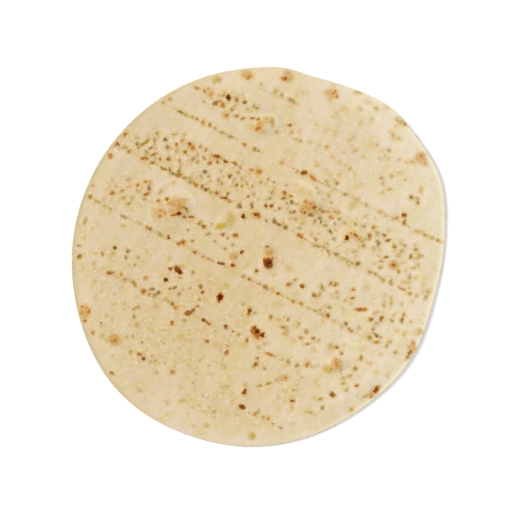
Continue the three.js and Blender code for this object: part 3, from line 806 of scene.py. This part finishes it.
OLIVE_GLOW = [
    (230, 219, 6, 9, 0, 0.4), (221, 226, 8, 4, 15, 0.6), (245, 73, 6, 4, 0, 0.42),
    (252, 436, 5, 5, 0, 0.52), (225, 387, 6, 3, 0, 0.38), (328, 369, 6, 5, 0, 0.55),
    (155, 213, 5, 9, 0, 0.24), (243, 345, 5, 4, 0, 0.3), (218, 345, 6, 4, 0, 0.28),
    (335, 321, 4, 3, 0, 0.32), (353, 205, 4, 4, 0, 0.3), (409, 281, 5, 4, 0, 0.26),
    (420, 331, 4, 4, 0, 0.36), (277, 304, 8, 5, 0, 0.22), (226, 286, 4, 4, 0, 0.3),
    (290, 270, 5, 4, 0, 0.24), (102, 336, 3, 4, 0, 0.36), (421, 190, 3, 5, 0, 0.34),
    (181, 337, 4, 3, 0, 0.32), (207, 426, 4, 3, 0, 0.35), (286, 328, 5, 3, -10, 0.4),
    (181, 266.5, 5, 3, 0, 0.5), (300, 191, 13, 6, -15, 0.2), (217.3, 79.5, 6, 4.5, 0, 0.46),
    (252, 127, 5, 4, 0, 0.3), (272.5, 122, 3, 6, 0, 0.55), (267, 121, 6, 5, 0, 0.26),
    (185, 200, 4, 2, 0, 0.4),
]
SPECK_ZONES = [
    (197, 163, 80, 32, -26, 0.4), (345, 230, 95, 42, -26, 0.4), (360, 335, 80, 70, 0, 0.3),
    (150, 300, 80, 90, 0, 0.2), (250, 390, 120, 50, 0, 0.2), (130, 195, 45, 30, -20, 0.34),
    (260, 300, 90, 60, 0, 0.26),
]
FEWEST_SPECKS = 0.08
UNDERSIDE_SPECKS = 0.4
print(len(AMBER_GLOW), "amber and", len(OLIVE_GLOW), "olive places glow")

# %% Paleness over the face, with painted light and shade
PATCH_CORE, PATCH_EDGE = 0.2, 1.3


def patches(x, y, rows):
    """The strongest of several soft ellipses given in photograph pixels, each easing out at its edge."""
    total = np.zeros_like(x)
    for across, down, half_long, half_wide, turn, strength in rows:
        middle_x, middle_y = on_tortilla(across, down)
        reach = oval_reach(x, y, middle_x, middle_y, half_long * PIXEL, half_wide * PIXEL, turn)
        total = np.maximum(total, strength * (1 - smoothstep(reach, PATCH_CORE, PATCH_EDGE)))
    return total


def on_shown_face(values, elsewhere=0.0):
    """A number for every point of the mesh: the net's own on the shown face and one number elsewhere."""
    filled = np.full(len(points), elsewhere)
    filled[: side * side] = values.ravel()
    return filled


x, y = points[:, 0], points[:, 1]
shown = on_shown_face(np.ones(side * side))
# The way runs from -1 at the left edge to 1 at the right edge. Painted light makes the dough brighter
# towards the right, and painted shade makes it darker towards the left.
way = (x * np.cos(PAINTED_LIGHT_BEARING) + y * np.sin(PAINTED_LIGHT_BEARING)) / RADIUS
outward = (x**2 + y**2) / RADIUS**2
pale_and_lit = PALE_MIDDLE + PALE_OUTWARD * outward + PAINTED_LIGHT_SIDEWAYS * np.tanh(SIDEWAYS_STEEPNESS * way)
pale_and_lit += PAINTED_LIGHT_RIGHT * smoothstep(way, 0.0, 0.6)
# The rim gets a painted highlight, strongest at the right, and the dull patches are darker.
pale_and_lit += RIM_HIGHLIGHT * smoothstep(outward, 0.78, 1.0) * (0.5 + 0.5 * way) - patches(x, y, DULL_SIDE)
point_bearing = np.degrees(np.arctan2(y - CENTRE[1], x - CENTRE[0]))
point_share = np.hypot(x - CENTRE[0], y - CENTRE[1]) / edge_radius(point_bearing)
# How near the rim a point lies, for the rim's painted highlight and shade.
painted_rim_light = 1 - smoothstep((1 - point_share) * RADIUS, PAINTED_RIM_FULL, PAINTED_RIM_FROM)
print("paleness of the dough from", pale_and_lit.min().round(2), "to", pale_and_lit.max().round(2))

# %% Give the numbers to the points
# The pale, rim and left-side numbers carry painted light and shade besides the dough's own paleness.
point_numbers = {
    "inside": on_shown_face(net_inside, -FAR_OUTSIDE),
    "depth": on_shown_face(net_depth),
    "lean": on_shown_face(net_lean),
    "line_gap": on_shown_face(net_line_gap, LINE_REACH),
    "line_toast": on_shown_face(net_line_toast),
    "pale_and_lit": pale_and_lit + (patches(x, y, PALE_AND_HIGHLIT_PATCHES) + FOLD_HIGHLIGHT_AND_PALENESS * fold_height(x, y)) * shown,
    "painted_left_shade": LEFT_SHADE * smoothstep(-way, 0.2, 1.0),
    "painted_rim_highlight": painted_rim_light * smoothstep(way, 0.2, 0.95),
    "painted_rim_shade": painted_rim_light**1.5 * smoothstep(-way, 0.3, 0.85),
    "amber_glow": patches(x, y, AMBER_GLOW) * shown,
    "olive_glow": patches(x, y, OLIVE_GLOW) * shown,
    "specks": np.where(shown > 0, FEWEST_SPECKS + patches(x, y, SPECK_ZONES), UNDERSIDE_SPECKS),
    "shown": shown,
}
for name, values in point_numbers.items():
    attribute = mesh.attributes.new(name, "FLOAT", "POINT")
    attribute.data.foreach_set("value", values.astype(np.float32))
print(len(point_numbers), "numbers at each of", len(points), "points")

# %% [markdown]
# ## The baked dough
# Under the toast lies pale wheat dough, warmer or paler from place to place and mottled at several
# sizes. Painted light and shade lie over it as well: brighter towards the right, along the right rim
# and on the blister folds, and darker towards the left and along the left rim. A painted picture of the
# dough would have one resolution, but noise in the piece's own millimetres stays crisp from near and
# far. The tones are given as they look in the photograph, and a named light level turns them into the
# colour of the surface itself.

# %% Tones of the photograph as colours of the surface
LIGHT_LEVEL = 1.15


def surface_colour(red, green, blue):
    """A tone of the photograph, 0 to 255, as linear light divided by the light level."""
    tone = np.array([red, green, blue]) / 255
    linear = np.where(tone <= 0.04045, tone / 12.92, ((tone + 0.055) / 1.055) ** 2.4)
    return (*(linear / LIGHT_LEVEL), 1.0)


print("a white tone gives a surface of", round(surface_colour(255, 255, 255)[0], 2))

# %% The material and its nodes
baked_dough = bpy.data.materials.new("baked_dough")
baked_dough.use_nodes = True
tree = baked_dough.node_tree
tree.nodes.clear()


def node(kind, inputs=None, **settings):
    """A new shader node with its settings made and its inputs given a number, a colour or a link."""
    made = tree.nodes.new("ShaderNode" + kind)
    for name, value in settings.items():
        setattr(made, name, value)
    for name, value in (inputs or {}).items():
        if isinstance(value, bpy.types.NodeSocket):
            tree.links.new(value, made.inputs[name])
        else:
            made.inputs[name].default_value = value
    return made


def calculate(operation, first, second=0.0, clamp=False):
    """One step of arithmetic on two numbers or links."""
    return node("Math", {0: first, 1: second}, operation=operation, use_clamp=clamp).outputs[0]


def point_value(name):
    """The number that the mesh keeps at its points under that name."""
    return node("Attribute", attribute_name=name).outputs["Fac"]


print("material", baked_dough.name)


# %% Colour ramps and mixes
def ramp(stops, factor):
    """A colour ramp from rows of a place and the tone there."""
    made = node("ValToRGB", {"Fac": factor})
    band = made.color_ramp.elements
    while len(band) < len(stops):
        band.new(1.0)
    for element, (place, *tone) in zip(band, stops):
        element.position = place
        element.color = surface_colour(*tone)
    return made.outputs["Color"]


# The mixing node has sockets for each kind of value; these are the ones for colours.
COLOUR_A, COLOUR_B, COLOUR_RESULT = 6, 7, 2


def blend(factor, first, second, how="MIX"):
    """Two colours mixed by a factor."""
    made = node("Mix", {0: factor, COLOUR_A: first, COLOUR_B: second}, data_type="RGBA", blend_type=how)
    return made.outputs[COLOUR_RESULT]


# %% Noise and ranges
object_place = node("TexCoord").outputs["Object"]


def noise(size, detail=2.0, roughness=0.5):
    """Cloudy noise whose lumps are about size millimetres wide."""
    made = node("TexNoise", {
        "Vector": object_place, "Scale": 1 / (size * METRES), "Detail": detail, "Roughness": roughness,
    })
    return made.outputs["Fac"]


def stretched(value, low, high, to_low=0.0, to_high=1.0):
    """A number mapped from one range to another and held at the ends."""
    made = node("MapRange", {
        "Value": value, "From Min": low, "From Max": high, "To Min": to_low, "To Max": to_high,
    })
    return made.outputs[0]


print("noise is placed by", object_place.name)

# %% Colour of the untoasted dough, with painted light and shade
WARM_DOUGH = surface_colour(217.6, 194.8, 148)
PALE_AND_LIT_DOUGH = surface_colour(233, 219.5, 189)
# Tone of the painted shade towards the left.
LEFT_SHADE_TONE = surface_colour(211, 190, 151)
YELLOW_TINT = (0.965, 0.955, 0.8, 1.0)
PINKISH_TINT = (1.035, 1.0, 1.15, 1.0)
# Painted highlight on the rim at the right.
RIM_HIGHLIGHT_TONE = surface_colour(249, 237, 209)
# Painted shade on the rim at the left.
RIM_SHADE_TONE = surface_colour(198, 184, 145)
MOTTLES = [(15.0, 0.5), (6.0, 0.7), (2.4, 0.7), (1.1, 0.6)]
CLOUD_SIZE, CLOUD_PALENESS = 24, 0.12
clouds = stretched(noise(CLOUD_SIZE, 3.0), 0.35, 0.65, -CLOUD_PALENESS, CLOUD_PALENESS)
# This paleness includes the painted light and shade carried by the points.
paleness = calculate("ADD", point_value("pale_and_lit"), clouds, True)
dough = blend(paleness, WARM_DOUGH, PALE_AND_LIT_DOUGH)
# Painted shade towards the left.
dough = blend(point_value("painted_left_shade"), dough, LEFT_SHADE_TONE)
for size, strength in MOTTLES:
    mottle = noise(size, 2.0)
    dough = blend(stretched(mottle, 0.5, 0.72, 0.0, strength), dough, PINKISH_TINT, "MULTIPLY")
    dough = blend(stretched(mottle, 0.5, 0.28, 0.0, strength), dough, YELLOW_TINT, "MULTIPLY")
# Painted highlight along the right rim.
dough = blend(point_value("painted_rim_highlight"), dough, RIM_HIGHLIGHT_TONE)
# Painted shade along the left rim.
dough = blend(point_value("painted_rim_shade"), dough, RIM_SHADE_TONE)
print("dough tones set, mottled at", len(MOTTLES), "sizes")

# %% [markdown]
# ## What surrounds the toast
# Close to a mark the dough is flecked with pale and begins to tan, and round the deepest marks it glows
# golden. Each of these could be listed patch by patch. The flecks and the tan haze are rules on the
# distance to a mark instead, so they follow every mark, and only the glow has places of its own.

# %% Pale flecks beside the toast
PALE_FLECK = surface_colour(238, 224, 198)
FLECK_SIZE, FLECK_STRENGTH = 2.2, 0.9
FLECKS_AFAR = 0.2
near_mark = stretched(point_value("inside"), -2.8, -1.2, FLECKS_AFAR, 1.0)
flecks = stretched(noise(FLECK_SIZE, 2.0), 0.52, 0.7, 0.0, FLECK_STRENGTH)
fleck_share = calculate("MULTIPLY", flecks, near_mark)
dough = blend(fleck_share, dough, PALE_FLECK)
print("flecks set")

# %% Tan haze round the marks
AMBER_HAZE = surface_colour(223, 180, 121)
OLIVE_HAZE = surface_colour(220, 188, 131)
HAZE_REACH = 2.3
HAZE_WANDER = 1.3
HAZE_STRENGTH = 0.5
haze_wander = stretched(noise(3.2, 3.0), 0.3, 0.7, -HAZE_WANDER, HAZE_WANDER)
haze_place = calculate("ADD", point_value("inside"), haze_wander)
haze_tone = blend(point_value("lean"), AMBER_HAZE, OLIVE_HAZE)
dough = blend(stretched(haze_place, -HAZE_REACH, 0.0, 0.0, HAZE_STRENGTH), dough, haze_tone)
print("haze reaches", HAZE_REACH, "mm out")

# %% Glow round the deep marks
AMBER_GLOW_TONE = surface_colour(199, 147, 57)
OLIVE_GLOW_TONE = surface_colour(200, 167, 66)
GLOW = 1.9
patchy = stretched(noise(2.6, 1.0), 0.36, 0.64, 0.7 * GLOW, 1.25 * GLOW)
glowing = blend(calculate("MULTIPLY", point_value("olive_glow"), patchy, True), dough, OLIVE_GLOW_TONE)
glowing = blend(calculate("MULTIPLY", point_value("amber_glow"), patchy, True), glowing, AMBER_GLOW_TONE)
print("glow set")

# %% Fine specks, too many and too small for the mesh
# Width of a cell, smallest and largest speck as a share of it, and the deepest tone.
SPECK_LAYERS = [(3.2, 0.14, 0.26, 0.42), (5.5, 0.12, 0.24, 0.5)]
FAINTEST_SPECK = 0.12


def speck_layer(cell, smallest, largest, deepest):
    """Cells about a few millimetres wide, each with one speck or none: a cell has one if its own random
    number is below the speck share, and the speck fades with the distance from the cell's middle."""
    cells = node("TexVoronoi", {"Vector": object_place, "Scale": 1 / (cell * METRES)},
                 voronoi_dimensions="2D")
    draws = node("SeparateColor", {"Color": cells.outputs["Color"]})
    present = calculate("LESS_THAN", draws.outputs["Red"], point_value("specks"))
    size = stretched(draws.outputs["Green"], 0.0, 1.0, smallest, largest)
    nearness = calculate("SUBTRACT", 1.0, calculate("DIVIDE", cells.outputs["Distance"], size), True)
    depth = stretched(draws.outputs["Blue"], 0.0, 1.0, FAINTEST_SPECK, deepest)
    return calculate("MULTIPLY", calculate("MULTIPLY", nearness, depth), present)


fine_specks = calculate("MAXIMUM", speck_layer(*SPECK_LAYERS[0]), speck_layer(*SPECK_LAYERS[1]))
print(len(SPECK_LAYERS), "speck layers")

# %% [markdown]
# ## The unseen underside
# The other face isn't in the photograph. It lay on the belt as well, so it has lines a slat apart,
# broken by noise, with patches and spots of toast between them, all by rule and none by hand.

# %% Belt lines, patches and spots on the underside
SLAT_PITCH = 39.5
UNDER_LINE_HALF_WIDTH = 1.2
UNDER_LINE_TOAST = 0.6
UNDER_PATCH_TOAST = 0.75
UNDERSIDE_SPOTS = (7.0, 0.16, 0.34, 0.95)
turned = node("Mapping", {"Vector": object_place, "Rotation": (0.0, 0.0, -BELT_BEARING)})
left_of_belt = node("SeparateXYZ", {"Vector": turned.outputs[0]}).outputs["Y"]
slat = calculate("PINGPONG", left_of_belt, SLAT_PITCH * METRES / 2)
line = stretched(slat, 0.0, UNDER_LINE_HALF_WIDTH * METRES, 1.0, 0.0)
broken = stretched(noise(9, 2.0), 0.42, 0.62)
under_line = calculate("MULTIPLY", calculate("MULTIPLY", line, broken), UNDER_LINE_TOAST)
under_patch = stretched(noise(11, 4.0, 0.6), 0.6, 0.8, 0.0, UNDER_PATCH_TOAST)
hidden_face = calculate("SUBTRACT", 1.0, point_value("shown"), True)
under_toast = calculate("MAXIMUM", under_line, under_patch)
under_toast = calculate("MAXIMUM", under_toast, speck_layer(*UNDERSIDE_SPOTS))
underside_toast = calculate("MULTIPLY", under_toast, hidden_face)
print("underside lines every", SLAT_PITCH, "mm")

# %% [markdown]
# ## Toast
# Toast isn't one brown. Some marks are amber, some lean to olive and some to a smoky grey-brown. One
# ramp would make them all alike, so there are three, each from faint to burnt, and the lean of a mark
# chooses between them. Noise frays the distance before it is cut and lets the tone drift inside a
# mark, because a clean ellipse of one colour would look printed.

# %% From toast depth to colour
# The depth of the toast, and its tone as red, green and blue.
AMBER_RAMP = [
    (0.3, 215, 182, 121), (0.4, 211, 165, 98), (0.5, 202, 144, 76), (0.6, 186, 120, 56),
    (0.72, 165, 98, 41), (0.82, 143, 78, 25), (0.92, 112, 48, 4), (1.0, 87, 23, 0),
]
OLIVE_RAMP = [
    (0.3, 205, 185, 116), (0.4, 189, 167, 91), (0.5, 172, 148, 71), (0.62, 155, 129, 55),
    (0.75, 138, 107, 41), (0.9, 108, 69, 18),
]
SMOKY_RAMP = [
    (0.3, 207, 183, 140), (0.42, 190, 161, 117), (0.52, 174, 141, 98), (0.65, 155, 115, 74),
    (0.8, 132, 80, 36), (0.95, 103, 41, 5),
]
RAGGED = 0.8
FRAYED = 0.4
ragged_edge = calculate(
    "ADD",
    stretched(noise(2.0, 2.0), 0.25, 0.75, -RAGGED, RAGGED),
    stretched(noise(0.9, 1.0), 0.25, 0.75, -FRAYED, FRAYED),
)
GRAIN = (0.88, 1.08)
grain = stretched(noise(1.1, 2.0), 0.3, 0.7, *GRAIN)
TOAST_FROM, TOAST_FULL = 0.04, 0.3
SMOKE = 0.95
TONE_DRIFT = 0.45
golden = stretched(point_value("amber_glow"), 0.0, 0.3)
smoke = calculate("SUBTRACT", stretched(noise(2.8, 2.0), 0.42, 0.64, 0.0, SMOKE), golden, True)
drift = stretched(noise(2.3, 2.0), 0.3, 0.7, -TONE_DRIFT, TONE_DRIFT)
tone_drift = calculate("SUBTRACT", drift, golden)


def toasted(toast, lean, below, smokiness=1.0):
    """The colour below, covered by the amber, olive or smoky tone of that toast as far as there is any."""
    tone = blend(calculate("ADD", lean, tone_drift, True), ramp(AMBER_RAMP, toast), ramp(OLIVE_RAMP, toast))
    more_smoke = stretched(lean, OLIVE_LEAN, SMOKY_LEAN)
    less_smoke = stretched(lean, ORANGE_LEAN, AMBER_LEAN, -1.0, 0.0)
    leaning = calculate("ADD", more_smoke, less_smoke)
    smoky_share = calculate("ADD", calculate("MULTIPLY", smoke, smokiness), leaning, True)
    tone = blend(smoky_share, tone, ramp(SMOKY_RAMP, toast))
    return blend(stretched(toast, TOAST_FROM, TOAST_FULL), below, tone)


print(len(AMBER_RAMP), "amber,", len(OLIVE_RAMP), "olive and", len(SMOKY_RAMP), "smoky tones")

# %% Toast along the belt lines
LINE_HALF_WIDTH = 0.65
LINE_DEPTH = 1.05
LINE_SMOKE = 0.35
LINE_WIGGLE = 0.25
LINE_EDGE_OUT, LINE_EDGE_IN = -0.6, 0.5
LINE_FAINTEST = 0.05
LINE_LEAN = 0.4
wiggle = stretched(noise(3.0, 2.0), 0.3, 0.7, -LINE_WIGGLE, LINE_WIGGLE)
off_line = calculate("ABSOLUTE", calculate("ADD", point_value("line_gap"), wiggle))
inside_line = calculate("ADD", calculate("SUBTRACT", LINE_HALF_WIDTH, off_line), ragged_edge)
unbroken = stretched(noise(4.5, 2.0), 0.36, 0.6, 0.3 * LINE_DEPTH, LINE_DEPTH)
line_edge = stretched(inside_line, LINE_EDGE_OUT, LINE_EDGE_IN)
line_share = calculate("MULTIPLY", line_edge, unbroken)
line_toast = calculate("MULTIPLY", line_share, point_value("line_toast"))
line_toast = calculate("SUBTRACT", line_toast, LINE_FAINTEST)
line_lean = stretched(noise(7.0, 2.0), 0.42, 0.58, 0.0, LINE_LEAN)
colour = toasted(line_toast, line_lean, glowing, LINE_SMOKE)
print("belt lines about", 2 * LINE_HALF_WIDTH, "mm wide")

# %% Marks, specks and the underside over them
SPECK_TONE = surface_colour(172, 140, 84)
UNDERSIDE_LEAN = 0.6
mark_share = stretched(calculate("ADD", point_value("inside"), ragged_edge), EDGE_OUT, EDGE_IN)
mark_toast = calculate("MULTIPLY", calculate("MULTIPLY", mark_share, point_value("depth")), grain)
colour = blend(fine_specks, colour, SPECK_TONE)
colour = toasted(mark_toast, point_value("lean"), colour)
underside_lean = stretched(noise(9.0, 2.0), 0.4, 0.6, 0.0, UNDERSIDE_LEAN)
colour = toasted(underside_toast, underside_lean, colour)
all_toast = calculate("MAXIMUM", mark_toast, underside_toast)
print("colour set")

# %% Skin, gloss and the shader itself
SKIN_HEIGHT = 0.00012
ROUGH_DOUGH = 0.82
ROUGH_TOAST = 0.62
BUMP_STRENGTH = 0.6
FINE_SKIN = 0.5
GLOSS = 0.03
skin = calculate("ADD", noise(2.2, 3.0), calculate("MULTIPLY", noise(0.7, 2.0), FINE_SKIN))
bump = node("Bump", {"Strength": BUMP_STRENGTH, "Distance": SKIN_HEIGHT, "Height": skin})
shader = node("BsdfPrincipled", {
    "Base Color": colour,
    "Roughness": stretched(all_toast, 0.1, 0.9, ROUGH_DOUGH, ROUGH_TOAST),
    "Normal": bump.outputs["Normal"],
    "Specular IOR Level": GLOSS,
})
node("OutputMaterial", {"Surface": shader.outputs["BSDF"]})
mesh.materials.append(baked_dough)
print(len(tree.nodes), "nodes")

# %% Hand the piece to the frame
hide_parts("tortilla")
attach(tortilla, "root")
print("stands for the solid and rides on root")

# %% [markdown]
# ## Floor, light and camera
# The tortilla lies on a plain white floor. Soft light comes from all round, and one large lamp from
# the upper left gives the low relief its shading and the rim its thin shadow at the lower right.

# %% Floor
FLOOR_HALF = 3.0
FLOOR_WHITE = 0.97
FLOOR_ROUGH = 0.9
floor_mesh = bpy.data.meshes.new("floor")
corners = [(-FLOOR_HALF, -FLOOR_HALF, 0), (FLOOR_HALF, -FLOOR_HALF, 0),
           (FLOOR_HALF, FLOOR_HALF, 0), (-FLOOR_HALF, FLOOR_HALF, 0)]
floor_mesh.from_pydata(corners, [], [(0, 1, 2, 3)])
floor = bpy.data.objects.new("floor", floor_mesh)
bpy.context.scene.collection.objects.link(floor)
floor_paint = bpy.data.materials.new("floor_paint")
floor_paint.use_nodes = True
floor_shader = floor_paint.node_tree.nodes["Principled BSDF"]
floor_shader.inputs["Base Color"].default_value = (FLOOR_WHITE, FLOOR_WHITE, FLOOR_WHITE, 1.0)
floor_shader.inputs["Roughness"].default_value = FLOOR_ROUGH
floor_mesh.materials.append(floor_paint)
print("floor", 2 * FLOOR_HALF, "m wide")

# %% Light
SKY = 0.75
LAMP_BEARING = np.radians(150)
LAMP_DOWN = np.radians(57)
LAMP_AWAY = 1.6
LAMP_SPREAD = np.radians(28)
LAMP_STRENGTH = 2.37
lamp_place = LAMP_AWAY * np.array([
    np.sin(LAMP_DOWN) * np.cos(LAMP_BEARING),
    np.sin(LAMP_DOWN) * np.sin(LAMP_BEARING),
    np.cos(LAMP_DOWN),
])
world = bpy.data.worlds.new("studio")
world.use_nodes = True
sky = world.node_tree.nodes["Background"]
sky.inputs["Color"].default_value = (1.0, 1.0, 1.0, 1.0)
sky.inputs["Strength"].default_value = SKY
bpy.context.scene.world = world
lamp_data = bpy.data.lights.new("soft_lamp", "SUN")
lamp_data.angle = LAMP_SPREAD
lamp_data.energy = LAMP_STRENGTH
lamp = bpy.data.objects.new("soft_lamp", lamp_data)
lamp.location = lamp_place
towards = Vector(-lamp_place)
lamp.rotation_euler = towards.to_track_quat("-Z", "Y").to_euler()
bpy.context.scene.collection.objects.link(lamp)
bpy.context.scene.view_settings.view_transform = "Standard"
print("lamp", LAMP_STRENGTH, "over a sky of", SKY)

# %% Camera straight above
LENS = 85.0
SENSOR = 36.0
view_width = PHOTO_SIDE * PIXEL * METRES
camera_data = bpy.data.cameras.new("camera")
camera_data.lens = LENS
camera_data.sensor_width = SENSOR
camera = bpy.data.objects.new("camera", camera_data)
camera_x, camera_y = on_tortilla(PHOTO_SIDE / 2, PHOTO_SIDE / 2)
camera.location = (camera_x * METRES, camera_y * METRES, view_width * LENS / SENSOR + THICKNESS * METRES)
bpy.context.scene.collection.objects.link(camera)
bpy.context.scene.camera = camera
print("camera", round(camera.location.z, 3), "m up")
